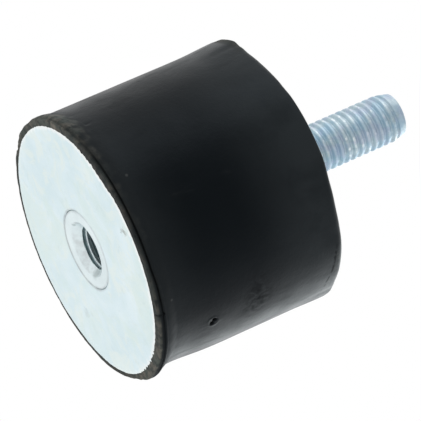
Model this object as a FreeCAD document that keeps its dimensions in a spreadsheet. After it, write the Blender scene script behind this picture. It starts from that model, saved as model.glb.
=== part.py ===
import FreeCAD, Part
import math
import os
import Sketcher

# Cylindrical rubber-to-metal vibration mount, stood on its tapped end.
# The axis is Z, the tapped plate's outer face is the plane z = 0, and the stud points up.
# Lengths are in millimetres and angles in degrees.

SIZES = (
    ("body_height", 40.0, "between the outer faces of the two plates"),
    ("waist_diameter", 51.6, "rubber, at the straight part of its flank"),
    ("lip_stand", 0.8, "how far the lip round the tapped plate stands out of the flank"),
    ("lip_land", 1.5, "upright edge of the lip, with its bevel"),
    ("lip_run", 2.8, "hollow curve from the lip down to the flank"),
    ("lip_bevel", 0.5, "trimmed foot of the lip"),
    ("rim_stand", 0.45, "how far the rim round the stud plate stands out of the flank"),
    ("rim_run", 9.0, "hollow curve from the flank out to the rim"),
    ("rim_bevel", 1.2, "edge of the rim"),
    ("plate_cover", 1.05, "rubber outside the edge of each plate, at the flank"),
    ("plate_thickness", 2.0, "both punched plates"),
    ("bush_seat_diameter", 15.8, "bush where it passes through its plate"),
    ("bush_step", 1.6, "collar of the bush beyond its seat, behind the plate"),
    ("bush_corner", 1.2, "closed end of the bush"),
    ("bush_end_wall", 1.4, "metal beyond the tip of the drilled bore"),
    ("tap_drill_diameter", 8.5, "bore of the ten millimetre thread"),
    ("bore_depth", 10.5, "full bore, without the drill point"),
    ("drill_point_angle", 118.0, "end of the bore"),
    ("countersink_width", 1.35, "mouth of the bore beyond its wall"),
    ("countersink_angle", 75.0, "mouth of the bore"),
    ("thread_diameter", 10.0, "stud, over the crests of its thread"),
    ("stud_length", 28.4, "stud standing out of its plate"),
    ("tip_chamfer", 0.8, "end of the stud"),
    ("shoulder_step", 1.4, "shoulder of the stud beyond its thread, where it passes through its plate"),
    ("head_step", 2.6, "head of the stud beyond its shoulder, behind the plate"),
    ("head_height", 4.2, "head of the stud"),
)

# Radii and heights that several pieces share

WAIST = "Sizes.waist_diameter / 2"
LIP = WAIST + " + Sizes.lip_stand"
RIM = WAIST + " + Sizes.rim_stand"
PLATE = WAIST + " - Sizes.plate_cover"
SEAT = "Sizes.bush_seat_diameter / 2"
COLLAR = SEAT + " + Sizes.bush_step"
DRILL = "Sizes.tap_drill_diameter / 2"
SHANK = "Sizes.thread_diameter / 2"
SHOULDER = SHANK + " + Sizes.shoulder_step"
HEAD = SHOULDER + " + Sizes.head_step"
SINK_DEPTH = "Sizes.countersink_width / tan(Sizes.countersink_angle * 1deg / 2)"
POINT_DEPTH = "Sizes.bore_depth + %s / tan(Sizes.drill_point_angle * 1deg / 2)" % DRILL
BUSH_END = POINT_DEPTH + " + Sizes.bush_end_wall"
HEAD_END = "Sizes.plate_thickness + Sizes.head_height"


# Driving dimensions

def make_sheet(doc):
    sheet = doc.addObject("Spreadsheet::Sheet", "Sizes")
    for row, (alias, number, note) in enumerate(SIZES, start=1):
        sheet.set("A%d" % row, alias)
        sheet.set("B%d" % row, str(number))
        sheet.setAlias("B%d" % row, alias)
        sheet.set("C%d" % row, note)
    doc.recompute()
    return sheet


def number_of(body, expression):
    """The present value of an expression over the driving dimensions."""
    result = body.evalExpression(expression)
    return float(getattr(result, "Value", result))


# Sketch helpers

def plane_of(body, role):
    return next(feature for feature in body.Origin.OriginFeatures if feature.Role == role)


def new_sketch(body, name, role):
    sketch = body.newObject("Sketcher::SketchObject", name)
    sketch.AttachmentSupport = (plane_of(body, role), [""])
    sketch.MapMode = "FlatFace"
    return sketch


def bind(sketch, constraint, name, expression):
    """Add a constraint and drive it from the sheet."""
    index = sketch.addConstraint(constraint)
    sketch.renameConstraint(index, name)
    sketch.setExpression("Constraints." + name, expression)


def place_corner(sketch, edge, end, name, across, up):
    """Hold one end of an edge at a radius and a height, which are expressions."""
    x_value = number_of(sketch, across)
    y_value = number_of(sketch, up)
    if across == "0":
        sketch.addConstraint(Sketcher.Constraint("PointOnObject", edge, end, -2))
    else:
        bind(sketch, Sketcher.Constraint("DistanceX", -1, 1, edge, end, x_value), name + "_r", across)
    if up == "0":
        sketch.addConstraint(Sketcher.Constraint("PointOnObject", edge, end, -1))
    else:
        bind(sketch, Sketcher.Constraint("DistanceY", -1, 1, edge, end, y_value), name + "_z", up)


def arc_between(start, end, upright_end):
    """Arc from start to end, hollow towards the axis side and upright at one of the two."""
    upright, slanted = (end, start) if upright_end else (start, end)
    step = slanted - upright
    radius = step.Length ** 2 / (2 * step.x)
    centre = upright + FreeCAD.Vector(radius, 0, 0)
    angles = [math.atan2(point.y - centre.y, point.x - centre.x) % (2 * math.pi) for point in (end, start)]
    return Part.ArcOfCircle(Part.Circle(centre, FreeCAD.Vector(0, 0, 1), radius), *angles)


def half_section(body, name, corners, hollow=None):
    """Closed half section in the upright plane, for a turned or moulded form.

    corners lists (name, radius, height) with the last two as expressions.
    hollow maps a corner's name to True or False: the edge that leaves this corner is a
    hollow arc, which ends (True) or starts (False) tangent to the straight edge beside it.
    """
    hollow = hollow or {}
    sketch = new_sketch(body, name, "XZ_Plane")
    points = [FreeCAD.Vector(number_of(body, across), number_of(body, up), 0) for _, across, up in corners]
    count = len(corners)
    ends = []
    for index, (corner, _, _) in enumerate(corners):
        start = points[index]
        end = points[(index + 1) % count]
        if corner in hollow:
            sketch.addGeometry(arc_between(start, end, hollow[corner]))
            ends.append((2, 1))
        else:
            sketch.addGeometry(Part.LineSegment(start, end))
            ends.append((1, 2))
    for index, (corner, across, up) in enumerate(corners):
        before = (index - 1) % count
        smooth = hollow.get(corner) is False or hollow.get(corners[before][0]) is True
        kind = "Tangent" if smooth else "Coincident"
        sketch.addConstraint(Sketcher.Constraint(kind, before, ends[before][1], index, ends[index][0]))
        place_corner(sketch, index, ends[index][0], corner, across, up)
    return sketch


def turn(body, kind, name, sketch):
    """Revolve a half section about the body's own Z axis, to add or to cut."""
    feature = body.newObject("PartDesign::" + kind, name)
    feature.Profile = sketch
    feature.ReferenceAxis = (sketch, ["V_Axis"])
    feature.Angle = 360
    sketch.Visibility = False
    return feature


def expect_cut(before, after):
    """A cut that faces away from the solid would remove nothing and raise nothing."""
    if after.Shape.Volume >= before.Shape.Volume:
        raise RuntimeError("%s cuts nothing" % after.Label)


# Outlines that a metal piece and its seat in the rubber share

def plate_outline():
    return [
        ("face_centre", "0", "0"),
        ("face_edge", PLATE, "0"),
        ("back_edge", PLATE, "Sizes.plate_thickness"),
    ]


def bush_outline():
    return [
        ("collar_root", COLLAR, "Sizes.plate_thickness"),
        ("collar_top", COLLAR, BUSH_END + " - Sizes.bush_corner"),
        ("end_edge", COLLAR + " - Sizes.bush_corner", BUSH_END),
        ("end_centre", "0", BUSH_END),
    ]


def head_outline():
    return [
        ("head_root", HEAD, "Sizes.plate_thickness"),
        ("head_edge", HEAD, HEAD_END),
        ("head_centre", "0", HEAD_END),
    ]


def seen_from_top(outline):
    """The same outline measured down from the stud end of the mount."""
    return [(name, across, "Sizes.body_height - (%s)" % up) for name, across, up in outline]


# Sub-parts

def new_body(doc, label):
    body = doc.addObject("PartDesign::Body", label)
    body.Label = label
    return body


def make_rubber(doc):
    """One moulding: hollow flanks, a lip at the tapped end, a rim at the other, and two seats."""
    body = new_body(doc, "rubber_body")
    flank = half_section(
        body,
        "flank_section",
        [
            ("foot_centre", "0", "0"),
            ("lip_foot", LIP + " - Sizes.lip_bevel", "0"),
            ("lip_edge", LIP, "Sizes.lip_bevel"),
            ("lip_top", LIP, "Sizes.lip_land"),
            ("flank_low", WAIST, "Sizes.lip_land + Sizes.lip_run"),
            ("flank_high", WAIST, "Sizes.body_height - Sizes.rim_run"),
            ("rim_edge", RIM, "Sizes.body_height - Sizes.rim_bevel"),
            ("rim_top", RIM + " - Sizes.rim_bevel", "Sizes.body_height"),
            ("top_centre", "0", "Sizes.body_height"),
        ],
        hollow={"lip_top": True, "flank_high": False},
    )
    block = turn(body, "Revolution", "moulded_block", flank)
    tapped_seat = half_section(body, "tapped_seat_section", plate_outline() + bush_outline())
    seated = turn(body, "Groove", "tapped_seat", tapped_seat)
    stud_seat = half_section(body, "stud_seat_section", seen_from_top(plate_outline() + head_outline()))
    finished = turn(body, "Groove", "stud_seat", stud_seat)
    doc.recompute()
    expect_cut(block, seated)
    expect_cut(seated, finished)
    return body


def make_plate(doc, label, hole):
    """Punched disc, from its outer face up, with one middle hole."""
    body = new_body(doc, label)
    sketch = new_sketch(body, label + "_blank", "XY_Plane")
    for edge, (name, across) in enumerate((("outer", PLATE), ("hole", hole))):
        radius = number_of(body, across)
        sketch.addGeometry(Part.Circle(FreeCAD.Vector(), FreeCAD.Vector(0, 0, 1), radius))
        sketch.addConstraint(Sketcher.Constraint("Coincident", edge, 3, -1, 1))
        bind(sketch, Sketcher.Constraint("Radius", edge, radius), name + "_r", across)
    disc = body.newObject("PartDesign::Pad", label + "_disc")
    disc.Profile = sketch
    disc.setExpression("Length", "Sizes.plate_thickness")
    sketch.Visibility = False
    return body


def make_bush(doc):
    """Turned bush, pressed into the tapped plate, with a blind bore for the thread."""
    body = new_body(doc, "threaded_bush")
    outline = [
        ("face_centre", "0", "0"),
        ("face_edge", SEAT, "0"),
        ("seat_end", SEAT, "Sizes.plate_thickness"),
    ]
    blank = turn(body, "Revolution", "bush_blank", half_section(body, "bush_section", outline + bush_outline()))
    bore = half_section(
        body,
        "bore_section",
        [
            ("mouth_centre", "0", "0"),
            ("mouth_edge", DRILL + " + Sizes.countersink_width", "0"),
            ("bore_top", DRILL, SINK_DEPTH),
            ("bore_end", DRILL, "Sizes.bore_depth"),
            ("drill_point", "0", POINT_DEPTH),
        ],
    )
    bored = turn(body, "Groove", "tapped_bore", bore)
    doc.recompute()
    expect_cut(blank, bored)
    return body


def make_stud(doc):
    """Turned stud: a head in the rubber, a shoulder through the plate, and the thread's blank.

    Its own frame starts at the plate's outer face, with the shank pointing down.
    """
    body = new_body(doc, "threaded_stud")
    outline = [
        ("tip_centre", "0", "-Sizes.stud_length"),
        ("tip_edge", SHANK + " - Sizes.tip_chamfer", "-Sizes.stud_length"),
        ("tip_top", SHANK, "Sizes.tip_chamfer - Sizes.stud_length"),
        ("shank_root", SHANK, "0"),
        ("shoulder_face", SHOULDER, "0"),
        ("shoulder_end", SHOULDER, "Sizes.plate_thickness"),
    ]
    turn(body, "Revolution", "stud_blank", half_section(body, "stud_section", outline + head_outline()))
    return body


def stand_on_top(body):
    """Turn a piece over about X and set its outer face level with the stud end."""
    body.Placement = FreeCAD.Placement(FreeCAD.Vector(), FreeCAD.Rotation(FreeCAD.Vector(1, 0, 0), 180))
    body.setExpression("Placement.Base.z", "Sizes.body_height")


def make_mount():
    doc = FreeCAD.newDocument("vibration_mount")
    make_sheet(doc)
    rubber = make_rubber(doc)
    female_plate = make_plate(doc, "female_plate", SEAT)
    bush = make_bush(doc)
    male_plate = make_plate(doc, "male_plate", SHOULDER)
    stud = make_stud(doc)
    stand_on_top(male_plate)
    stand_on_top(stud)
    doc.recompute()
    return doc, [rubber, female_plate, bush, male_plate, stud]


# Checks and files

def check_model(doc, bodies):
    for item in doc.Objects:
        if "Invalid" in item.State or "Error" in item.State:
            raise RuntimeError("%s failed: %s" % (item.Name, item.State))
    for body in bodies:
        shape = body.Shape
        if shape.isNull() or not shape.isValid() or len(shape.Solids) != 1:
            raise RuntimeError("%s is not one valid solid" % body.Label)


def write_steps(bodies):
    os.makedirs("parts", exist_ok=True)
    for body in bodies:
        body.Shape.exportStep(os.path.join("parts", body.Label + ".step"))
        print("%-14s %9.1f mm3" % (body.Label, body.Shape.Volume))


document, pieces = make_mount()
check_model(document, pieces)
write_steps(pieces)
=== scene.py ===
import math

import bmesh
import bpy
import numpy as np
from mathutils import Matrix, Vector, noise


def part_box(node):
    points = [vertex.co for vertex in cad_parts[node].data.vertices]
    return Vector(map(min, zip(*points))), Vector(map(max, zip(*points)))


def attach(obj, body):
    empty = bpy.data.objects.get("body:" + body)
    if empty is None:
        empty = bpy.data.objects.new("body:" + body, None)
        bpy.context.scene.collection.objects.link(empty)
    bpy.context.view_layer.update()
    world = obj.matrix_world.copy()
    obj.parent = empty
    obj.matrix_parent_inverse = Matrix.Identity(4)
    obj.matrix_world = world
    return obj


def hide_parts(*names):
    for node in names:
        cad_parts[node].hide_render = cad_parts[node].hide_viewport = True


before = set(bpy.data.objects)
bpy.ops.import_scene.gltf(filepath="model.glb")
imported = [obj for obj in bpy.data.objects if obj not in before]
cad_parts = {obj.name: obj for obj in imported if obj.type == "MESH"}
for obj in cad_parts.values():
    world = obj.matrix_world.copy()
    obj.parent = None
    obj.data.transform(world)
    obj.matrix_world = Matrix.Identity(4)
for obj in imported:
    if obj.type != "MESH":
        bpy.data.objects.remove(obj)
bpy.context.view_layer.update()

# Looks of a cylindrical rubber vibration mount, stood on its tapped end.
# Shapes are worked out in millimetres, with angles in degrees round the axis,
# and turned into metres when a mesh is made. Materials work in metres.

MM = 0.001
FULL_TURN = 2 * math.pi

# Points of a mesh that are closer than this, in metres, are joined
MERGE = 2e-6

# Sizes that the frame gives

BODY_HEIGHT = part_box("rubber_body")[1].z / MM
STUD_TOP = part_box("threaded_stud")[1].z / MM
PLATE_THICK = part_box("female_plate")[1].z / MM
BUSH_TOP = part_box("threaded_bush")[1].z / MM
BUSH_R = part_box("threaded_bush")[1].x / MM
HEAD_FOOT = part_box("threaded_stud")[0].z / MM
HEAD_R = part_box("threaded_stud")[1].x / MM
PLATE_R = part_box("female_plate")[1].x / MM
LIP_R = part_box("rubber_body")[1].x / MM

# Sizes of the forms, as in the solids

WAIST_R = 25.8
LIP_TOP = 1.5
LIP_END = LIP_TOP + 2.8
RIM_START = BODY_HEIGHT - 9.0
SEAT_R = 7.9
BUSH_CORNER = 1.2
SHOULDER_R = 6.4
DRILL_R = 4.25
BORE_DEPTH = 10.5
DRILL_POINT = 118
POINT_RISE = DRILL_R / math.tan(math.radians(DRILL_POINT / 2))
SINK_R, SINK_DEPTH = 5.6, 1.76

# Sizes that only the looks have: both threads, with the stud's long bevel, and how far
# behind a plate's outer face its edge is rounded and the rubber's skin begins

PITCH = 1.5
THREAD_R, THREAD_DEPTH = 4.8, 0.56
TIP_CHAMFER, TIP_SLOPE = 0.66, 0.25
TAP_START, TAP_DEPTH, TAP_PHASE = 1.3, 0.75, 0.66
TAP_FADE_IN, TAP_FADE_OUT = 0.4, 1.2
EDGE_DEPTH = 0.12


# Shaping helpers

def eased(t):
    """Share from 0 to 1 with a soft start and end."""
    return t * t * (3 - 2 * t)


def bell(distance, width):
    """1 at no distance, fading out over about two widths."""
    return np.exp(-(distance / width) ** 2)


def between(x, low, high, soft):
    """1 inside low to high, fading to 0 over soft at each end."""
    rise = eased(np.clip((x - low) / soft + 0.5, 0, 1))
    fall = eased(np.clip((high - x) / soft + 0.5, 0, 1))
    return rise * fall


def even_turn(columns):
    """Evenly spaced angles of one full turn."""
    return np.linspace(0, FULL_TURN, columns, endpoint=False)


def arc_mm(turn, degrees, radius):
    """Signed distance in millimetres along a circle from an angle."""
    apart = (np.degrees(turn) - degrees + 180) % 360 - 180
    return np.radians(apart) * radius


def around(stations, turn):
    """Value at each angle, eased between stations of (degrees, value)."""
    at = np.array([s[0] for s in stations], float)
    value = np.array([s[1] for s in stations], float)
    degrees = np.degrees(turn) % 360
    after = np.searchsorted(at, degrees, side="right") % len(at)
    before = after - 1
    share = ((degrees - at[before]) % 360) / ((at[after] - at[before]) % 360)
    return value[before] + (value[after] - value[before]) * eased(share)


def ripple(turn, seed, fewest, most, depth):
    """Uneven edge: waves of fewest to most per turn, with seeded phases, at most depth high."""
    draw = np.random.default_rng(seed)
    total = np.zeros_like(turn)
    for count in range(fewest, most):
        total += draw.uniform(0.3, 1.0) * np.sin(count * turn + draw.uniform(0, FULL_TURN))
    return depth * total / (np.abs(total).max() + 1e-9)


def grain(points, size, seed):
    """Perlin noise of each point, with features of about size millimetres."""
    shift = Vector((seed * 7.3, seed * 3.1, seed * 5.7))
    return np.array([noise.noise(Vector(p) / size + shift) for p in points])


# Mesh building

def rings_to_points(rings, turn):
    """Rings of (radius, height), each a number or one value per angle, as points."""
    points = []
    for radius, height in rings:
        radius = np.broadcast_to(radius, turn.shape)
        height = np.broadcast_to(height, turn.shape)
        points.append(np.stack([radius * np.cos(turn), radius * np.sin(turn), height], 1))
    return np.concatenate(points)


def ring_faces(row_count, columns, wrap_rows=False):
    """Quads of a grid that closes round the axis, and along the rows with wrap_rows."""
    faces = []
    for row in range(row_count if wrap_rows else row_count - 1):
        upper = (row + 1) % row_count
        for column in range(columns):
            beside = (column + 1) % columns
            faces.append((row * columns + column, row * columns + beside,
                          upper * columns + beside, upper * columns + column))
    return faces


def join_parts(*parts):
    """Several (points, faces) as one."""
    points, faces, start = [], [], 0
    for some_points, some_faces in parts:
        points.append(some_points)
        faces += [tuple(start + corner for corner in face) for face in some_faces]
        start += len(some_points)
    return np.concatenate(points), faces


def make_piece(name, points, faces, sharp, values=None):
    """A closed mesh in metres, with creases sharper than sharp degrees kept.

    values holds float attributes by name, one number a point.
    """
    mesh = bpy.data.meshes.new(name)
    mesh.from_pydata((np.asarray(points) * MM).tolist(), [], faces)
    for key, numbers in (values or {}).items():
        attribute = mesh.attributes.new(key, "FLOAT", "POINT")
        attribute.data.foreach_set("value", np.asarray(numbers, np.float32))
    shape = bmesh.new()
    shape.from_mesh(mesh)
    bmesh.ops.remove_doubles(shape, verts=shape.verts, dist=MERGE)
    loose = [v for v in shape.verts if not v.link_faces]
    bmesh.ops.delete(shape, geom=loose, context="VERTS")
    bmesh.ops.recalc_face_normals(shape, faces=shape.faces)
    for face in shape.faces:
        face.smooth = True
    for edge in shape.edges:
        edge.smooth = edge.calc_face_angle(0) < math.radians(sharp)
    shape.to_mesh(mesh)
    shape.free()
    piece = bpy.data.objects.new(name, mesh)
    bpy.context.scene.collection.objects.link(piece)
    return piece


class Profile:
    """Rings of a turned form, added run by run."""

    def __init__(self, radius, height):
        self.rings = [(radius, height)]

    def to(self, radius, height, steps=1, ease_radius=False):
        """A run to a new ring in equal steps; ease_radius blends the radius smoothly."""
        start_radius, start_height = self.rings[-1]
        for step in range(1, steps + 1):
            t = step / steps
            s = eased(t) if ease_radius else t
            self.rings.append((start_radius + (radius - start_radius) * s,
                               start_height + (height - start_height) * t))
        return self

    def round_to(self, radius, height, steps, along_first):
        """A quarter round to a new ring; along_first says that it sets off along the height."""
        start_radius, start_height = self.rings[-1]
        for step in range(1, steps + 1):
            angle = math.pi / 2 * step / steps
            ahead, across = math.sin(angle), 1 - math.cos(angle)
            r_share, z_share = (across, ahead) if along_first else (ahead, across)
            self.rings.append((start_radius + (radius - start_radius) * r_share,
                               start_height + (height - start_height) * z_share))
        return self

    def turned(self, turn):
        """Points and faces of the form, open at both ends of the profile."""
        return rings_to_points(self.rings, turn), ring_faces(len(self.rings), len(turn))


# Edges of the plates and the rubber

# Stations of (degrees, millimetres) round the mount, read along its edges:
# where the rubber's skin meets the plate, where the trimmed face of the lip ends,
# how far the lip and the rim stand out of the flank, how deep the flank is hollowed
# behind the lip, and how large the rim's round is
PLATE_EDGE = ((0, 24.43), (12, 24.45), (24, 24.52), (36, 24.6), (46, 24.85), (60, 24.98),
              (78, 25.15), (100, 25.2), (120, 25.38), (140, 25.33), (165, 25.22), (186, 25.12),
              (195, 24.95), (206, 24.86), (216, 24.65), (230, 24.6), (250, 24.6), (268, 24.68),
              (272, 24.45), (280, 24.43), (287, 24.13), (294, 24.15), (299, 24.6), (306, 24.63),
              (318, 24.51), (336, 24.47))
FACE_OUT = ((0, 0.45), (12, 0.6), (30, 0.68), (41.5, 0.78), (47, 0.34), (54, 0.08), (66, 0.15),
            (80, 0.3), (100, 0.34), (120, 0.46), (140, 0.4), (175, 0.27), (188, 0.25),
            (194, 0.12), (197, -0.3), (199, 0.1), (206, 0.3), (214, 0.15), (222, 0.08),
            (234, 0.14), (246, 0.2), (262, 0.25), (290, 0.15), (320, 0.1), (352, 0.15))
LIP_OUT = ((0, 0.7), (12, 0.8), (42, 0.8), (48, 0.45), (54, 0.38), (66, 0.4), (190, 0.4),
           (230, 0.38), (262, 0.4), (300, 0.4), (340, 0.55))
RIM_OUT = ((0, 0.2), (14, 0.08), (24, -0.03), (31, -0.1), (36, 0.1), (60, 0.3), (180, 0.4),
           (215, 0.3), (230, 0.35), (238, 0.6), (247, 0.7), (252, 0.38), (259, 0.18), (267, 0.2),
           (276, 0.35), (284, 0.38), (292, 0.5), (302, 0.55), (318, 0.4), (330, 0.0),
           (341, -0.1), (350, 0.05))
HOLLOW = ((0, 0.2), (20, 0.4), (45, 0.55), (75, 0.3), (110, 0.0), (330, 0.0))
RIM_ROUND = ((0, 1.3), (24, 1.3), (33, 0.7), (45, 0.8), (120, 1.0), (215, 0.7), (230, 0.6),
             (238, 0.45), (247, 0.4), (253, 0.9), (260, 1.3), (273, 1.3), (284, 0.9),
             (293, 0.5), (318, 0.5), (333, 1.2), (345, 1.5))

# How deep the groove is where the trimmed flash met the flank, and how high it runs
GROOVE = ((0, 0.2), (20, 0.16), (45, 0.05), (60, 0.0), (238, 0.0), (246, 0.1), (272, 0.06),
          (284, 0.25), (300, 0.4), (344, 0.42), (352, 0.35))
GROOVE_UP = ((0, 0.95), (28, 1.0), (60, 0.8), (238, 0.5), (284, 0.74), (332, 0.78),
             (341, 0.96), (352, 1.0))

# How strong the painted highlight along the plate's edge is, from 0 to 1
EDGE_HIGHLIGHT = ((0, 0.8), (40, 0.6), (60, 0.3), (90, 0.1), (190, 0.1), (215, 0.8), (300, 1.0))

# How brown the rubber is where the lip was trimmed, from 0 to 1: on its face, and on its side
CUT_FACE = ((0, 0.65), (8, 0.85), (24, 1.0), (38, 1.0), (50, 0.8), (66, 0.5), (190, 0.5),
            (204, 0.8), (218, 0.95), (252, 1.0), (264, 0.7), (276, 0.35), (288, 0.4),
            (306, 0.28), (320, 0.2), (336, 0.42), (348, 0.42))
CUT_SIDE = ((0, 0.0), (196, 0.1), (212, 0.8), (246, 1.0), (258, 0.6), (272, 0.28),
            (290, 0.12), (335, 0.05))

# Where the plate's edge looks like a saw: angle, depth and half width, and the depth elsewhere
JAGGED = ((280, 0.28, 7.0), (30, 0.3, 6.0))
JAGGED_ELSEWHERE = 0.05


def plate_edge(turn):
    """Radius at which the plate's face ends and the rubber's skin begins."""
    jagged = JAGGED_ELSEWHERE
    for degrees, depth, width in JAGGED:
        jagged = jagged + depth * bell(arc_mm(turn, degrees, PLATE_R), width)
    smooth = around(PLATE_EDGE, turn) + ripple(turn, seed=3, fewest=9, most=60, depth=0.05)
    return smooth + ripple(turn, seed=21, fewest=70, most=165, depth=1.0) * jagged


# Rubber body

# Heights of the lip's trimmed face and of where the lip is widest
FACE_UP, LIP_WIDE = 0.05, 1.0

# Width of the groove, and the tear that ends it; the groove's depth is among the stations
GROOVE_WIDTH = 0.16
TEAR_ANGLE, TEAR_LEAN, TEAR_DEPTH, TEAR_WIDTH = 354.7, 0.37, 0.28, 0.25

# Gate mark on the flank, the closer rings above and below it, and its raised edge;
# its two pits have a place along and up from its middle, and a width
PIT_ANGLE, PIT_HEIGHT, PIT_DEPTH = 11.2, 11.8, 0.8
PIT_RINGS = 1.2
PIT_EDGE_R, PIT_EDGE_HIGH, PIT_EDGE_WIDTH = 1.15, 0.05, 0.25
PITS = ((0.36, -0.26, 0.32), (-0.34, 0.24, 0.35))

# A pock near the lip, and the hollow behind the lip, whose depth is among the stations too
POCK_ANGLE, POCK_HEIGHT, POCK_DEPTH, POCK_WIDTH = 261.1, 4.6, 0.25, 0.4
HOLLOW_HEIGHT, HOLLOW_WIDTH = 6.0, 5.5

# How high the brown cut runs up the lip's face and its side, how much higher it is where
# it runs raggedly or over lumps, and how high the trimming has dulled the skin
CUT_FACE_UP, CUT_SIDE_UP, LUMPS_UP, DULL_UP = 0.43, 1.6, 1.4, 3.6
RAGGED_ANGLE, RAGGED_WIDTH, RAGGED_UP = 250, 6.0, 1.7

# The torn corner at the rim, and where the flank was wiped
CORNER_ANGLE, CORNER_WIDTH, CORNER_HIGH = 238, 7.0, 1.7
SMEAR_ANGLE, SMEAR_HEIGHT, SMEAR_LONG, SMEAR_HIGH = 8.5, 21.4, 4.8, 2.5


def rubber_turn():
    """Angles of the columns, closer together at the gate mark."""
    close = np.radians(PIT_ANGLE) + np.arange(-14, 15) * 0.09 / WAIST_R
    turn = np.sort(np.concatenate([even_turn(660), close % FULL_TURN]))
    return turn[np.concatenate([[True], np.diff(turn) > 1e-4])]


def rubber_rings(turn):
    """Rings of the rubber, from the bush over the lip, flank and rim to the stud's head.

    Returns them with the rows at which the skin, the lip's hollow curve, the plain flank
    and the rim's round begin, and the row at which the skin has ended.
    """
    inner = plate_edge(turn)
    lip = WAIST_R + around(LIP_OUT, turn) + ripple(turn, seed=7, fewest=5, most=40, depth=0.03)
    lip = np.minimum(lip, LIP_R)
    outer = WAIST_R + around(FACE_OUT, turn) + ripple(turn, seed=5, fewest=12, most=60, depth=0.05)
    outer = np.maximum(np.minimum(outer, lip), inner + 0.25)
    face_z = FACE_UP + ripple(turn, seed=11, fewest=6, most=70, depth=0.035)
    rim = WAIST_R + around(RIM_OUT, turn)
    rim_round = around(RIM_ROUND, turn)
    seat = inner - 0.02

    path = Profile(0.0, BUSH_TOP)
    path.to(BUSH_R - BUSH_CORNER, BUSH_TOP, 2).to(BUSH_R, BUSH_TOP - BUSH_CORNER)
    path.to(BUSH_R, PLATE_THICK, 2).to(seat, PLATE_THICK, 3).to(seat, EDGE_DEPTH)
    skin_row = len(path.rings)
    path.to(inner + 0.03, 0.5 * (EDGE_DEPTH + face_z)).to(inner + 0.12, face_z)
    path.to(outer - 0.08, face_z + 0.01, 9)
    path.round_to(outer, face_z + 0.1, 3, along_first=False)
    path.to(outer + (lip - outer) * 0.5, 0.55, 4).to(lip, LIP_WIDE, 5, ease_radius=True)
    path.to(lip, LIP_TOP, 6)
    curve_row = len(path.rings)
    path.to(WAIST_R, LIP_END, 14, ease_radius=True)
    flank_row = len(path.rings)
    path.to(WAIST_R, PIT_HEIGHT - PIT_RINGS, 6).to(WAIST_R, PIT_HEIGHT + PIT_RINGS, 24)
    path.to(WAIST_R, RIM_START, 15)
    path.to(rim, BODY_HEIGHT - rim_round, 14, ease_radius=True)
    rim_row = len(path.rings)
    path.round_to(rim - rim_round, BODY_HEIGHT, 7, along_first=True)
    end_row = len(path.rings) + 1
    path.to(seat, BODY_HEIGHT, 3).to(seat, BODY_HEIGHT - PLATE_THICK)
    path.to(HEAD_R, BODY_HEIGHT - PLATE_THICK, 3).to(HEAD_R, HEAD_FOOT).to(0.0, HEAD_FOOT)
    return path.rings, (skin_row, curve_row, flank_row, rim_row, end_row)


def lip_marks(angle, radius, height):
    """Depth of the groove where the trimmed flash met the flank, and of the tear that ends it."""
    line = bell(height - around(GROOVE_UP, angle), GROOVE_WIDTH)
    groove = around(GROOVE, angle) * line * (radius > PLATE_R + 0.6)
    tear_line = arc_mm(angle, TEAR_ANGLE, PLATE_R) + (radius - PLATE_R) * TEAR_LEAN
    torn = (height < LIP_TOP - 0.1) * (radius > PLATE_R + 0.1)
    return groove, TEAR_DEPTH * bell(tear_line, TEAR_WIDTH) * torn


def gate_mark(angle, height):
    """Two joined pits and the raised edge round them, each from 0 to 1."""
    along = arc_mm(angle, PIT_ANGLE, WAIST_R)
    up = height - PIT_HEIGHT
    pit = np.zeros(len(angle))
    for pit_along, pit_up, width in PITS:
        pit = np.maximum(pit, bell(np.hypot(along - pit_along, up - pit_up), width))
    return pit, bell(np.hypot(along, up) - PIT_EDGE_R, PIT_EDGE_WIDTH)


def flank_dents(angle, height):
    """Depth of the pock and of the hollow behind the lip."""
    from_pock = np.hypot(arc_mm(angle, POCK_ANGLE, WAIST_R), height - POCK_HEIGHT)
    hollow = around(HOLLOW, angle) * bell(height - HOLLOW_HEIGHT, HOLLOW_WIDTH)
    return POCK_DEPTH * bell(from_pock, POCK_WIDTH) + hollow


def trim_shares(angle, height, at_edge, shown, lumps):
    """How brown the cut shows, and how much each place was trimmed, from 0 to 1."""
    face = around(CUT_FACE, angle) * between(height, -1.0, CUT_FACE_UP, 0.5)
    ragged = bell(arc_mm(angle, RAGGED_ANGLE, WAIST_R), RAGGED_WIDTH)
    side_up = CUT_SIDE_UP + RAGGED_UP * ragged + LUMPS_UP * lumps
    side = around(CUT_SIDE, angle) * between(height, 0.3, side_up, 1.6)
    cut = np.maximum(face, side) * at_edge
    faded = 0.5 * between(height, -1.0, DULL_UP, 3.0)
    trimmed = np.maximum(between(height, -1.0, LIP_TOP, 0.8), faded) * at_edge
    corner = between(height, BODY_HEIGHT - CORNER_HIGH, BODY_HEIGHT + 1, 0.9)
    corner = corner * bell(arc_mm(angle, CORNER_ANGLE, WAIST_R), CORNER_WIDTH) * shown
    return np.maximum(cut, 0.45 * corner), np.maximum(trimmed, 0.9 * corner)


def keep_inside(points):
    """Moves what stands out of the solid's height or widest radius back onto it."""
    points[:, 2] = np.clip(points[:, 2], 0.0, BODY_HEIGHT)
    size = np.hypot(points[:, 0], points[:, 1])
    points[:, :2] *= (np.minimum(size, LIP_R) / np.maximum(size, 1e-6))[:, None]


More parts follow.
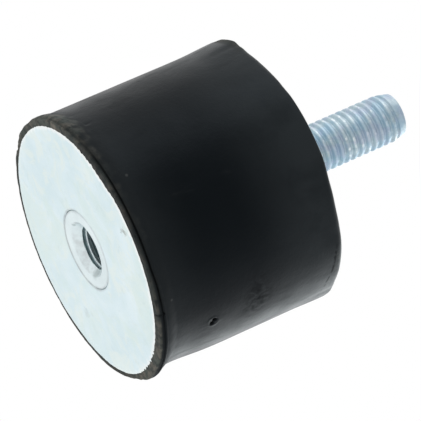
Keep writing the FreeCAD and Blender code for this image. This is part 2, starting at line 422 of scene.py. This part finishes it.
def rubber_body():
    turn = rubber_turn()
    rings, (skin_row, curve_row, flank_row, rim_row, end_row) = rubber_rings(turn)
    points = rings_to_points(rings, turn)
    row = np.repeat(np.arange(len(rings)), len(turn))
    shown = (row >= skin_row) & (row < end_row)
    on_lip = (row >= skin_row) & (row < curve_row)
    on_flank = (row >= curve_row) & (row < rim_row)
    near = np.where(shown & (row < flank_row))[0]
    far = np.where(shown & (row >= flank_row))[0]
    angle = np.tile(turn, len(rings))
    outward = np.stack([np.cos(angle), np.sin(angle), 0 * angle], 1)
    radius = np.hypot(points[:, 0], points[:, 1])
    height = points[:, 2]  # a view, so it follows the points as they move

    groove, tear = lip_marks(angle, radius, height)
    groove, tear = groove * on_lip, tear * on_lip
    points -= outward * groove[:, None]
    points[:, 2] += tear + groove * 0.4

    pit, edge = gate_mark(angle, height)
    dent = PIT_DEPTH * pit - PIT_EDGE_HIGH * edge + flank_dents(angle, height)
    points -= outward * (dent * on_flank)[:, None]

    # Rough surface where it was cut, and a slightly uneven flank
    lumps = np.zeros(len(points))
    lumps[near] = grain(points[near], size=1.6, seed=4)
    cut, trimmed = trim_shares(angle, height, radius > PLATE_R - 0.4, shown, lumps)
    rough = np.zeros(len(points))
    rough[near] = 0.03 * grain(points[near], size=0.6, seed=1)
    rough[near] += 0.1 * grain(points[near], size=1.7, seed=2)
    rough *= 0.3 + cut
    rough[far] = 0.02 * grain(points[far], size=6.0, seed=3)
    points += outward * (rough * (row >= skin_row + 2))[:, None]
    points[:, 2] += np.abs(rough) * on_lip * 0.8
    keep_inside(points)

    smear_along = arc_mm(angle, SMEAR_ANGLE, WAIST_R) / SMEAR_LONG
    smear = bell(np.hypot(smear_along, (height - SMEAR_HEIGHT) / SMEAR_HIGH), 1.0) * on_flank
    # Painted shade in the gate mark's pits, the groove and the tear, which also makes them dull
    recess_shade = np.clip(2.2 * (pit * on_flank + groove + tear), 0, 1)
    values = {"cut": cut, "trimmed": trimmed, "recess_shade": recess_shade, "smear": smear}
    faces = ring_faces(len(rings), len(turn))
    return make_piece("rubber_moulding", points, faces, sharp=55, values=values)


# Plates

def plate(name, hole, base, facing):
    """A punched disc. base is its outer face's height, and facing 1 where it looks down."""
    turn = even_turn(720)
    edge = plate_edge(turn)
    inside = base + facing * PLATE_THICK
    path = Profile(hole, inside)
    path.to(edge, inside, 3).to(edge, base + facing * EDGE_DEPTH, 2)
    path.to(edge - 0.03, base + facing * 0.05).to(edge - 0.1, base + facing * 0.01)
    path.to(edge - 0.2, base).to(edge - 1.2, base, 5)
    path.to(hole + 0.45, base, 8)
    path.to(hole + 0.22, base).to(hole + 0.1, base + facing * 0.07).to(hole, base + facing * 0.26)
    points = rings_to_points(path.rings, turn)
    angle = np.tile(turn, len(path.rings))
    inward = np.tile(edge, len(path.rings)) - np.hypot(points[:, 0], points[:, 1])
    ragged = 0.8 + 0.6 * ripple(angle, seed=41, fewest=12, most=120, depth=1.0)
    # Painted highlight: a near-white band along the plate's edge, as strong as the stations say
    edge_highlight = np.clip(1 - inward / ragged, 0, 1) * around(EDGE_HIGHLIGHT, angle)
    faces = ring_faces(len(path.rings), len(turn), wrap_rows=True)
    return make_piece(name, points, faces, sharp=50, values={"edge_highlight": edge_highlight})


# Threads

def thread_height(phase, depth):
    """Profile of the thread over one pitch: 0 at the root, depth at the rounded crest."""
    root_flat, crest_flat = 0.08, 0.8
    side = np.abs((phase % 1.0) - 0.5) * 2
    return depth * eased(np.clip((side - root_flat) / (crest_flat - root_flat), 0, 1))


def helix(low, high, columns, radius_at):
    """Points and faces of a right-hand threaded wall from low to high.

    Each row follows the helix; what falls outside is clamped to the end circles.
    radius_at gives the radius from the phase, the height and the angle.
    """
    rows_a_turn = 18
    last = math.ceil((high - low) / PITCH * rows_a_turn) + 1
    steps = np.arange(-rows_a_turn - 1, last + 1)
    turn = np.linspace(0, FULL_TURN, columns + 1)
    lift = steps[:, None] / rows_a_turn + turn[None, :] / FULL_TURN
    height = np.clip(low + lift * PITCH, low, high)
    phase = (height - low) / PITCH - turn[None, :] / FULL_TURN
    radius = radius_at(phase, height, np.broadcast_to(turn, height.shape))
    points = np.stack([radius * np.cos(turn), radius * np.sin(turn), height], 2).reshape(-1, 3)
    wide = columns + 1
    faces = []
    for row in range(len(steps) - 1):
        for column in range(columns):
            corner = row * wide + column
            faces.append((corner, corner + 1, corner + 1 + wide, corner + wide))
    return points, faces


def bush_wall(phase, height, angle):
    """Radius of the bore: a thread that fades out at both ends, and the countersink."""
    fade = np.clip((height - TAP_START) / TAP_FADE_IN, 0, 1)
    fade = fade * np.clip((BORE_DEPTH - height) / TAP_FADE_OUT, 0, 1)
    tapped = DRILL_R + TAP_DEPTH * (1 - thread_height(phase + TAP_PHASE, 1.0)) ** 2 * fade
    slope = (SINK_R - DRILL_R) / SINK_DEPTH
    mouth = SINK_R - height * slope + 0.02 * np.sin(3 * angle)
    return np.maximum(tapped, mouth)


# Depth in the bore where the painted shade begins, and over how much it gets full
SHADE_FROM, SHADE_OVER = 4.4, 0.4


def threaded_bush():
    turn = even_turn(144)
    low, high = 0.14, BORE_DEPTH
    bore = helix(low, high, len(turn), bush_wall)
    shell = Profile(bush_wall(-turn / FULL_TURN, low, turn), low)
    shell.to(SINK_R + 0.03, 0.03).to(SINK_R + 0.18, 0.0).to(SEAT_R - 0.5, 0.0, 3)
    shell.to(SEAT_R - 0.22, 0.0).to(SEAT_R - 0.1, 0.07).to(SEAT_R, 0.26)
    shell.to(SEAT_R, PLATE_THICK, 2).to(BUSH_R, PLATE_THICK)
    shell.to(BUSH_R, BUSH_TOP - BUSH_CORNER, 2)
    shell.to(BUSH_R - BUSH_CORNER, BUSH_TOP).to(0.0, BUSH_TOP)
    tip_r = 0.6
    point = Profile(DRILL_R, high)
    point.to(tip_r, high + POINT_RISE * (1 - tip_r / DRILL_R), 4).to(0.0, high + POINT_RISE)
    points, faces = join_parts(bore, shell.turned(turn), point.turned(turn))

    # The bore is painted with shade inwards, sooner on the side of +X, and its thread's roots are
    # painted darker as shade
    radius = np.hypot(points[:, 0], points[:, 1])
    height = points[:, 2]
    inside = (radius < SINK_R - 0.1) & (height < BUSH_TOP - 1.0)
    depth = height + 0.6 * (1 + points[:, 0] / np.maximum(radius, 1e-6))
    shade = eased(np.clip((depth - SHADE_FROM) / SHADE_OVER, 0, 1)) * inside
    in_thread = np.clip((height - TAP_START) / 0.3, 0, 1)
    root = np.clip((radius - DRILL_R - 0.5) / 0.2, 0, 1) * in_thread * inside
    values = {"shade": shade, "root": root}
    return make_piece("tapped_bush", points, faces, sharp=35, values=values)


# The stud's helix starts and ends a little short of the plate and of the end's rounded edge
SHANK_LOW, SHANK_HIGH = BODY_HEIGHT + 0.25, STUD_TOP - 0.06


def stud_wall(phase, height, angle):
    """Radius of the stud: a thread that starts from a plain foot, bevelled at the end."""
    plain_r = THREAD_R - 0.1
    rolled = THREAD_R - THREAD_DEPTH + thread_height(phase, THREAD_DEPTH)
    blend = eased(np.clip((height - SHANK_LOW) / 0.9, 0, 1))
    rolled = plain_r + (rolled - plain_r) * blend
    tip = THREAD_R - TIP_CHAMFER + (STUD_TOP - height) * TIP_SLOPE
    return np.minimum(rolled, np.maximum(tip, 1.0))


def threaded_stud():
    turn = even_turn(160)
    low, high = SHANK_LOW, SHANK_HIGH
    shank = helix(low, high, len(turn), stud_wall)
    foot_r = stud_wall(-turn / FULL_TURN, low, turn)
    foot = Profile(0.0, HEAD_FOOT)
    foot.to(HEAD_R, HEAD_FOOT, 3)
    foot.to(HEAD_R, BODY_HEIGHT - PLATE_THICK).to(SHOULDER_R, BODY_HEIGHT - PLATE_THICK)
    foot.to(SHOULDER_R, BODY_HEIGHT - 0.2).to(SHOULDER_R - 0.04, BODY_HEIGHT - 0.05)
    foot.to(SHOULDER_R - 0.13, BODY_HEIGHT).to(THREAD_R + 0.25, BODY_HEIGHT, 2)
    foot.to(foot_r + 0.06, BODY_HEIGHT + 0.08).to(foot_r, low)
    top_r = stud_wall((high - low) / PITCH - turn / FULL_TURN, high, turn)
    end = Profile(top_r, high)
    end.to(top_r - 0.1, STUD_TOP - 0.005).to(top_r - 0.4, STUD_TOP)
    end.to(0.5, STUD_TOP, 4).to(0.0, STUD_TOP)
    points, faces = join_parts(shank, foot.turned(turn), end.turned(turn))
    return make_piece("rolled_stud", points, faces, sharp=35)


# Materials

class Nodes:
    """Short hand for a node tree.

    Its place is where the shaded point is, in metres, or in a world the direction
    of view, which "Generated" gives.
    """

    def __init__(self, tree, place="Object"):
        self.tree = tree
        self.tree.nodes.clear()
        self.place = self.add("ShaderNodeTexCoord").outputs[place]

    def add(self, kind, inputs=None, **settings):
        node = self.tree.nodes.new(kind)
        for key, value in settings.items():
            setattr(node, key, value)
        for key, value in (inputs or {}).items():
            if isinstance(value, bpy.types.NodeSocket):
                self.tree.links.new(value, node.inputs[key])
            else:
                node.inputs[key].default_value = value
        return node

    def attribute(self, name):
        return self.add("ShaderNodeAttribute", attribute_name=name).outputs["Fac"]

    def height(self):
        return self.add("ShaderNodeSeparateXYZ", {0: self.place}).outputs[2]

    def from_axis(self):
        """Distance from the mount's axis."""
        flat = self.add("ShaderNodeVectorMath", {0: self.place, 1: (1, 1, 0)}, operation="MULTIPLY")
        node = self.add("ShaderNodeVectorMath", {0: flat.outputs[0]}, operation="LENGTH")
        return node.outputs["Value"]

    def from_spot(self, spot):
        """Distance from a place given in metres."""
        node = self.add("ShaderNodeVectorMath", {0: self.place, 1: spot}, operation="DISTANCE")
        return node.outputs["Value"]

    def along(self, direction):
        """How far the point lies along a direction."""
        node = self.add("ShaderNodeVectorMath", {0: self.place, 1: direction},
                        operation="DOT_PRODUCT")
        return node.outputs["Value"]

    def noise(self, scale, detail=3.0, roughness=0.5, distortion=0.0, place=None):
        """Noise of about scale features a metre."""
        node = self.add("ShaderNodeTexNoise", {
            "Vector": place or self.place, "Scale": scale, "Detail": detail,
            "Roughness": roughness, "Distortion": distortion,
        })
        return node.outputs["Fac"]

    def span(self, value, low, high, to_low=0.0, to_high=1.0):
        """Maps low to high smoothly onto to_low to to_high, clamped."""
        node = self.add("ShaderNodeMapRange", {
            "Value": value, "From Min": low, "From Max": high, "To Min": to_low, "To Max": to_high,
        }, interpolation_type="SMOOTHSTEP", clamp=True)
        return node.outputs["Result"]

    def math(self, operation, first, second=0.0):
        return self.add("ShaderNodeMath", {0: first, 1: second}, operation=operation).outputs[0]

    def times(self, first, second):
        return self.math("MULTIPLY", first, second)

    def mix(self, share, first, second):
        return self.add("ShaderNodeMix", {0: share, 6: first, 7: second}, data_type="RGBA").outputs[2]

    def bump(self, height, distance, strength, normal=None):
        inputs = {"Height": height, "Distance": distance, "Strength": strength}
        if normal is not None:
            inputs["Normal"] = normal
        return self.add("ShaderNodeBump", inputs).outputs["Normal"]


def new_material(name):
    """A material, and short hand for its nodes."""
    material = bpy.data.materials.new(name)
    material.use_nodes = True
    return material, Nodes(material.node_tree)


# Colours of the rubber: deep black, the haze near its ends, streaks, cut and torn places,
# painted shade in the pits, groove and tear, pale specks, and the mould's joint line with the specks
# beyond it
BLACK = (0.0014, 0.0024, 0.0032, 1)
HAZE = (0.0200, 0.0236, 0.0256, 1)
STREAK = (0.018, 0.020, 0.021, 1)
TORN_DARK = (0.060, 0.068, 0.063, 1)
TORN_PALE = (0.170, 0.158, 0.134, 1)
TORN_SLATE = (0.080, 0.094, 0.085, 1)
TORN_PIT = (0.016, 0.017, 0.016, 1)
RECESS_SHADE = (0.002, 0.002, 0.002, 1)
SPECK = (0.060, 0.064, 0.062, 1)
JOINT = (0.001, 0.001, 0.001, 1)
JOINT_SPECK = (0.036, 0.040, 0.038, 1)

# Height where the flank is blackest, and how far from there the haze starts and is full
HAZE_FROM, HAZE_START, HAZE_FULL = 16.5, 3.0, 22.0

# Pale specks on the flank: angle, height and size
SPECKS = ((293.9, 4.15, 0.4), (349.3, 3.4, 0.35))

# The joint line's middle faces this angle; it leans, and its height is at that middle
JOINT_ANGLE, JOINT_HEIGHT, JOINT_LEAN = 18, 37.2, 0.12


def rubber_colour(n, cloud, streak, pits, cut, recess_shade):
    """Black with haze and streaks, brown where it was cut, painted shade in the pits, groove and
    tear, and two specks.
    """
    off_middle = n.math("ABSOLUTE", n.math("SUBTRACT", n.height(), HAZE_FROM * MM))
    haze = n.span(off_middle, HAZE_START * MM, HAZE_FULL * MM)
    colour = n.mix(n.times(haze, n.span(cloud, 0.25, 0.6, 0.6, 1.0)), BLACK, HAZE)
    colour = n.mix(n.span(streak, 0.62, 0.8, 0.0, 0.35), colour, STREAK)
    torn = n.mix(n.span(n.noise(620, 4), 0.3, 0.7), TORN_DARK, TORN_PALE)
    torn = n.mix(n.span(n.noise(240, 2), 0.44, 0.62, 0.0, 0.7), torn, TORN_SLATE)
    torn = n.mix(n.span(pits, 0.5, 0.7, 0.0, 0.5), torn, TORN_PIT)
    patchy = n.span(n.noise(700, 2), 0.3, 0.55, 0.6, 1.0)
    colour = n.mix(n.times(cut, patchy), colour, torn)
    # Painted shade in the pits, groove and tear
    colour = n.mix(n.times(recess_shade, 0.85), colour, RECESS_SHADE)
    for degrees, up, size in SPECKS:
        a = math.radians(degrees)
        spot = (WAIST_R * MM * math.cos(a), WAIST_R * MM * math.sin(a), up * MM)
        share = n.span(n.from_spot(spot), size * MM * 0.3, size * MM, 0.7, 0.0)
        colour = n.mix(share, colour, SPECK)
    return colour


def joint_line(n, colour):
    """Broken dark line of the mould's joint near the far rim, with pale specks beyond it.

    It runs slightly askew, on one side only. Returns the colour and the line's mask.
    """
    a = math.radians(JOINT_ANGLE)
    facing = n.along((math.cos(a), math.sin(a), 0.0))
    across = n.along((-math.sin(a), math.cos(a), 0.0))
    here = n.span(facing, 0.0238, 0.0255)
    wavy = n.math("ADD", n.height(), n.times(across, JOINT_LEAN))
    wavy = n.math("ADD", wavy, n.span(n.noise(300, 2), 0.3, 0.7, -0.0002, 0.0002))
    apart = n.math("ABSOLUTE", n.math("SUBTRACT", wavy, JOINT_HEIGHT * MM))
    broken = n.span(n.noise(800, 2), 0.42, 0.56, 0.05, 0.85)
    line = n.times(n.times(n.span(apart, 0.0001, 0.0003, 1.0, 0.0), broken), here)
    beyond = n.span(wavy, (JOINT_HEIGHT + 0.2) * MM, (JOINT_HEIGHT + 0.6) * MM)
    pale = n.times(beyond, n.span(n.noise(1500, 3), 0.4, 0.66))
    colour = n.mix(n.times(pale, here), colour, JOINT_SPECK)
    return n.mix(n.times(line, 0.7), colour, JOINT), line


def rubber_material():
    """Satin moulded rubber, dull where it was trimmed or wiped, and dull with painted shade in its
    pits, groove and tear.
    """
    material, n = new_material("moulded_rubber")
    cut = n.attribute("cut")
    trimmed = n.attribute("trimmed")
    recess_shade = n.attribute("recess_shade")
    cloud = n.noise(120, 4, 0.55)
    drawn = n.add("ShaderNodeMapping", {"Vector": n.place, "Scale": (1, 1, 0.25)}).outputs[0]
    streak = n.noise(420, 3, 0.6, 0.4, drawn)
    pits = n.noise(1500, 3, 0.6)
    wiped = n.times(n.attribute("smear"), n.span(n.noise(520, 4, 0.6, 0.8), 0.38, 0.66))
    colour, joint = joint_line(n, rubber_colour(n, cloud, streak, pits, cut, recess_shade))

    shine = n.span(cloud, 0.3, 0.7, 0.34, 0.44)
    shine = n.math("ADD", shine, n.span(streak, 0.5, 0.8, 0.0, 0.12))
    shine = n.math("ADD", shine, n.times(trimmed, 0.4))
    shine = n.math("ADD", shine, n.times(wiped, 0.2))
    dull = n.math("MAXIMUM", n.times(wiped, 0.85), n.math("MAXIMUM", trimmed, recess_shade))
    dull = n.math("MAXIMUM", dull, joint)
    gloss = n.math("SUBTRACT", 0.56, n.times(dull, 0.46))
    normal = n.bump(n.noise(3800, 2, 0.5), 0.00003, 0.6)
    normal = n.bump(pits, 0.00008, n.span(cut, 0.0, 1.0, 0.35, 1.0), normal)
    normal = n.bump(n.noise(210, 3), 0.0002, 0.4, normal)
    shader = n.add("ShaderNodeBsdfPrincipled", {
        "Base Color": colour, "Roughness": shine, "Normal": normal, "IOR": 1.21,
        "Specular IOR Level": gloss, "Specular Tint": (0.74, 0.88, 1.0, 1),
        "Sheen Weight": 0.05, "Sheen Roughness": 0.35, "Sheen Tint": (0.88, 0.95, 1.0, 1),
    })
    n.add("ShaderNodeOutputMaterial", {"Surface": shader.outputs[0]})
    return material


def plated_material(name, pale, deep, rough, streaks, extra):
    """Zinc plating: pale and deep are its lightest and darkest tone.

    rough is its roughness and streaks how deep its drawn lines are. extra(nodes, colour)
    adds what only one piece has.
    """
    material, n = new_material(name)
    cloud = n.noise(95, 5, 0.55, 0.6)
    speckle = n.noise(2600, 2, 0.6)
    stretched = n.add("ShaderNodeMapping", {
        "Vector": n.place, "Scale": (1.0, 0.12, 1.0), "Rotation": (0, 0, 0.6),
    }).outputs[0]
    drawn = n.noise(1400, 3, 0.6, 0.0, stretched)
    colour = n.mix(n.span(cloud, 0.3, 0.7), deep, pale)
    colour = n.mix(n.span(speckle, 0.6, 0.8, 0.0, 0.35), colour, deep)
    colour = extra(n, colour)
    shine = n.span(cloud, 0.25, 0.75, rough + 0.06, rough - 0.05)
    shine = n.math("ADD", shine, n.span(speckle, 0.35, 0.75, -0.02, 0.08))
    normal = n.bump(drawn, 0.00002, streaks)
    normal = n.bump(speckle, 0.00001, 0.5, normal)
    normal = n.bump(n.noise(160, 2), 0.0001, 0.12, normal)
    shader = n.add("ShaderNodeBsdfPrincipled", {
        "Base Color": colour, "Metallic": 1.0, "Roughness": shine, "Normal": normal,
    })
    n.add("ShaderNodeOutputMaterial", {"Surface": shader.outputs[0]})
    return material


# Colours on the plating
PLATE_RUB = (0.30, 0.34, 0.33, 1)
PLATE_WARM = (0.785, 0.865, 0.845, 1)
PLATE_GREEN = (0.70, 0.82, 0.80, 1)
PLATE_GREY = (0.64, 0.75, 0.76, 1)
PLATE_HIGHLIGHT = (0.97, 0.98, 0.97, 1)
SEAM_DARK = (0.40, 0.43, 0.44, 1)
SINK_DULL = (0.52, 0.55, 0.56, 1)
SINK_NICK_AND_SHADE = (0.34, 0.42, 0.42, 1)
BORE_ROOT_SHADE = (0.19, 0.30, 0.31, 1)
BORE_SHADE = (0.15, 0.25, 0.28, 1)
STUD_ROOT_SHADE = (0.36, 0.47, 0.55, 1)
STUD_FILM = (0.69, 0.80, 0.84, 1)
STUD_GLINT = (0.92, 0.97, 1.0, 1)
STUD_BLUE = (0.40, 0.58, 0.72, 1)
STUD_LILAC = (0.52, 0.57, 0.73, 1)

# Rubs and dots on the plates' faces: x, y, radius and share
PLATE_SPOTS = ((15.6, -15.8, 0.7, 0.95), (14.2, -15.3, 0.4, 0.65), (-1.9, 17.3, 0.9, 0.22),
               (0.4, 15.9, 0.5, 0.15), (2.5, -19.5, 0.8, 0.1))

# Place in the countersink kept free of dull patches as a painted highlight, and its grey spots, a
# nick and a patch of painted shade: place, size and share
SINK_HIGHLIGHT_PLACE = (-4.6, -1.2, 0.9)
SINK_NICK_AND_SHADE_SPOTS = (((-4.7, -2.7, 0.3), 0.6, 0.6), ((2.2, 4.6, 0.8), 1.6, 0.5))


def in_metres(place):
    return tuple(x * MM for x in place)


def seam_ring(n, colour):
    """Dark line along the seam between each plate and the piece in its hole, stronger on one side."""
    seam = n.span(n.height(), 0.015, 0.025, SEAT_R * MM, SHOULDER_R * MM)
    apart = n.math("ABSOLUTE", n.math("SUBTRACT", n.from_axis(), seam))
    patchy = n.span(n.noise(400, 2), 0.3, 0.6, 0.3, 0.7)
    line = n.times(n.span(apart, 0.0001, 0.0006, 1.0, 0.0), patchy)
    line = n.times(line, n.span(n.along((-0.7, 0.7, 0.0)), -0.007, 0.004, 0.45, 1.0))
    return n.mix(line, colour, SEAM_DARK)


def plate_marks(n, colour):
    """Handling marks, clouds, the dark seam line, and a painted highlight along the edge."""
    for x, y, radius, share in PLATE_SPOTS:
        ragged = n.span(n.noise(900, 3), 0.2, 0.8, -0.0006, 0.0006)
        apart = n.math("ADD", n.from_spot(in_metres((x, y, 0))), ragged)
        spot = n.span(apart, radius * MM * 0.5, radius * MM * 1.5, share, 0.0)
        colour = n.mix(spot, colour, PLATE_RUB)
    warm = n.span(n.noise(150, 5, 0.65, 1.2), 0.46, 0.64, 0.0, 0.8)
    colour = n.mix(warm, colour, PLATE_WARM)
    green = n.span(n.noise(75, 5, 0.65, 0.5), 0.46, 0.6, 0.0, 0.6)
    colour = n.mix(green, colour, PLATE_GREEN)
    grey = n.span(n.noise(420, 4, 0.6, 0.6), 0.55, 0.72, 0.0, 0.35)
    colour = n.mix(grey, colour, PLATE_GREY)
    colour = seam_ring(n, colour)
    # Painted highlight along the plate's edge
    return n.mix(n.attribute("edge_highlight"), colour, PLATE_HIGHLIGHT)


def bush_marks(n, colour):
    """Dull patches in the countersink, with a place kept clear of them as a painted highlight, a nick
    and a grey spot of painted shade, the dark seam line, and painted shade in the bore's thread roots
    and deep inside.
    """
    mouth = n.span(n.from_axis(), (SINK_R - 0.2) * MM, (SINK_R + 0.1) * MM, 1.0, 0.0)
    mouth = n.times(mouth, n.span(n.noise(700, 3), 0.4, 0.65, 0.1, 0.55))
    # The dull patches stay out of one place, which leaves a painted highlight there
    mouth = n.times(mouth, n.span(n.from_spot(in_metres(SINK_HIGHLIGHT_PLACE)), 0.0008, 0.0022))
    colour = n.mix(mouth, colour, SINK_DULL)
    # A grey nick, and a grey patch of painted shade where the countersink's reflection is dim
    for place, size, share in SINK_NICK_AND_SHADE_SPOTS:
        spot = n.span(n.from_spot(in_metres(place)), size * MM * 0.3, size * MM, share, 0.0)
        colour = n.mix(spot, colour, SINK_NICK_AND_SHADE)
    colour = seam_ring(n, colour)
    # Painted shade in the roots of the bore's thread, and deep in the bore
    colour = n.mix(n.times(n.attribute("root"), 0.55), colour, BORE_ROOT_SHADE)
    return n.mix(n.attribute("shade"), colour, BORE_SHADE)


def stud_marks(n, colour):
    """Painted shade in the roots of the rolled thread, a cloudy tinted film, and painted glints on
    the crests.
    """
    # Painted shade: the thread's roots are darker
    root = n.span(n.from_axis(), (THREAD_R - THREAD_DEPTH) * MM, THREAD_R * MM, 0.12, 0.0)
    colour = n.mix(root, colour, STUD_ROOT_SHADE)
    film = n.span(n.noise(700, 4, 0.65), 0.42, 0.6)
    colour = n.mix(n.times(film, 0.5), colour, STUD_FILM)
    crest = n.span(n.from_axis(), (THREAD_R - 0.12) * MM, THREAD_R * MM)
    # Painted glints: near-white spots on the crests
    crest_glint = n.times(crest, n.span(n.noise(800, 2, 0.6), 0.52, 0.64, 0.0, 0.8))
    colour = n.mix(crest_glint, colour, STUD_GLINT)
    blue = n.span(n.noise(240, 2), 0.46, 0.6)
    colour = n.mix(n.times(blue, 0.5), colour, STUD_BLUE)
    lilac = n.span(n.noise(300, 2, 0.5, 0.5), 0.5, 0.62)
    return n.mix(n.times(lilac, 0.4), colour, STUD_LILAC)


# The floor's hole lies under the lip. Out to CLOSE_R only the camera sees the floor,
# and from CLOSE_END_R on everything does.
FLOOR_HOLE_R, CLOSE_R, CLOSE_END_R = 25.5, 27.5, 32.0


def floor_material():
    """Pale from above, nothing from below, and white far away.

    Close round the mount only the camera sees it, so that the lip isn't shut in.
    """
    material, n = new_material("pale_floor")
    distance = n.add("ShaderNodeVectorMath", {0: n.place}, operation="LENGTH").outputs["Value"]
    far = n.span(distance, 0.25, 1.6)
    plain = n.add("ShaderNodeBsdfDiffuse", {"Color": (0.86, 0.86, 0.86, 1)}).outputs[0]
    white = n.add("ShaderNodeEmission", {"Color": (1, 1, 1, 1), "Strength": 1.0}).outputs[0]
    top = n.add("ShaderNodeMixShader", {0: far, 1: plain, 2: white}).outputs[0]
    clear = n.add("ShaderNodeBsdfTransparent").outputs[0]
    below = n.add("ShaderNodeNewGeometry").outputs["Backfacing"]
    seen = n.add("ShaderNodeLightPath").outputs["Is Camera Ray"]
    close = n.span(distance, CLOSE_R * MM, CLOSE_END_R * MM, 1.0, 0.0)
    passed = n.times(close, n.math("SUBTRACT", 1.0, seen))
    hidden = n.math("MAXIMUM", below, passed)
    shader = n.add("ShaderNodeMixShader", {0: hidden, 1: top, 2: clear})
    n.add("ShaderNodeOutputMaterial", {"Surface": shader.outputs[0]})
    return material


# The object

def dress(piece, node, material):
    piece.data.materials.append(material)
    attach(piece, "root")
    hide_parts(node)


zinc_plate = plated_material(
    "zinc_plate", pale=(0.765, 0.875, 0.915, 1), deep=(0.70, 0.825, 0.86, 1),
    rough=0.42, streaks=0.25, extra=plate_marks)
zinc_bush = plated_material(
    "zinc_bush", pale=(0.775, 0.87, 0.89, 1), deep=(0.70, 0.79, 0.81, 1),
    rough=0.36, streaks=0.2, extra=bush_marks)
zinc_stud = plated_material(
    "zinc_stud", pale=(0.595, 0.70, 0.765, 1), deep=(0.455, 0.565, 0.625, 1),
    rough=0.54, streaks=0.3, extra=stud_marks)

dress(rubber_body(), "rubber_body", rubber_material())
dress(plate("tapped_plate", SEAT_R, 0.0, 1), "female_plate", zinc_plate)
dress(threaded_bush(), "threaded_bush", zinc_bush)
dress(plate("stud_plate", SHOULDER_R, BODY_HEIGHT, -1), "male_plate", zinc_plate)
dress(threaded_stud(), "threaded_stud", zinc_stud)


# Stage, light and camera

def add_floor():
    path = Profile(FLOOR_HOLE_R, 0.0).to(200.0, 0.0, 3).to(2000.0, 0.0, 3).to(20000.0, 0.0, 2)
    points, faces = path.turned(even_turn(96))
    mesh = bpy.data.meshes.new("floor")
    mesh.from_pydata((points * MM).tolist(), [], faces)
    shape = bmesh.new()
    shape.from_mesh(mesh)
    for face in shape.faces:
        if face.normal.z < 0:
            face.normal_flip()
    shape.to_mesh(mesh)
    shape.free()
    floor = bpy.data.objects.new("floor", mesh)
    floor.data.materials.append(floor_material())
    floor.visible_shadow = False
    bpy.context.scene.collection.objects.link(floor)


def toward(azimuth, elevation):
    """Unit vector toward an azimuth and elevation in degrees."""
    a, e = math.radians(azimuth), math.radians(elevation)
    return Vector((math.cos(a) * math.cos(e), math.sin(a) * math.cos(e), math.sin(e)))


def add_world(level, dark_azimuth, dark_elevation, dark_share):
    """Even light of one level, with the camera's own side of the room dimmer by a share.

    The camera sees plain white, and metal and glass see the room in that white.
    """
    world = bpy.data.worlds.new("studio")
    world.use_nodes = True
    n = Nodes(world.node_tree, "Generated")
    path = n.add("ShaderNodeLightPath").outputs
    seen = path["Is Camera Ray"]
    facing = n.along(toward(dark_azimuth, dark_elevation))
    dim = n.span(facing, 0.25, 0.95, 1.0, 1 - dark_share)
    shiny = n.math("MAXIMUM", path["Is Glossy Ray"], path["Is Transmission Ray"])
    strength = n.math("MAXIMUM", n.math("MAXIMUM", seen, shiny), level)
    strength = n.times(strength, n.math("MAXIMUM", seen, dim))
    light = n.add("ShaderNodeBackground", {"Color": (1, 1, 1, 1), "Strength": strength})
    n.add("ShaderNodeOutputWorld", {"Surface": light.outputs[0]})
    bpy.context.scene.world = world


def add_lamp(name, azimuth, elevation, distance, size, power, tint):
    """A soft round lamp that looks at the middle of the mount."""
    data = bpy.data.lights.new(name, "AREA")
    data.shape = "DISK"
    data.size = size
    data.energy = power
    data.color = tint
    lamp = bpy.data.objects.new(name, data)
    aim = Vector((0, 0, BODY_HEIGHT * MM / 2))
    away = toward(azimuth, elevation)
    lamp.location = aim + away * distance
    lamp.rotation_euler = away.to_track_quat("Z", "Y").to_euler()
    bpy.context.scene.collection.objects.link(lamp)


def add_camera():
    """The photograph's camera, off to the side and below the tapped end."""
    data = bpy.data.cameras.new("camera")
    data.lens = 347.08
    data.sensor_width = 36.0
    data.clip_start, data.clip_end = 0.05, 100.0
    camera = bpy.data.objects.new("camera", data)
    camera.location = (0.500744, -0.497033, -0.255531)
    camera.rotation_euler = [math.radians(x) for x in (134.5957, -58.1569, 5.0508)]
    bpy.context.scene.collection.objects.link(camera)
    bpy.context.scene.camera = camera


add_floor()
add_world(level=0.95, dark_azimuth=-45, dark_elevation=22, dark_share=0.5)
add_lamp("top_softbox", azimuth=250, elevation=24, distance=1.2, size=0.8, power=1.8,
         tint=(1.0, 1.0, 1.0))
add_lamp("low_softbox", azimuth=93, elevation=32, distance=1.2, size=1.0, power=3.4,
         tint=(0.9, 0.98, 1.0))
add_camera()
bpy.context.scene.view_settings.view_transform = "Standard"
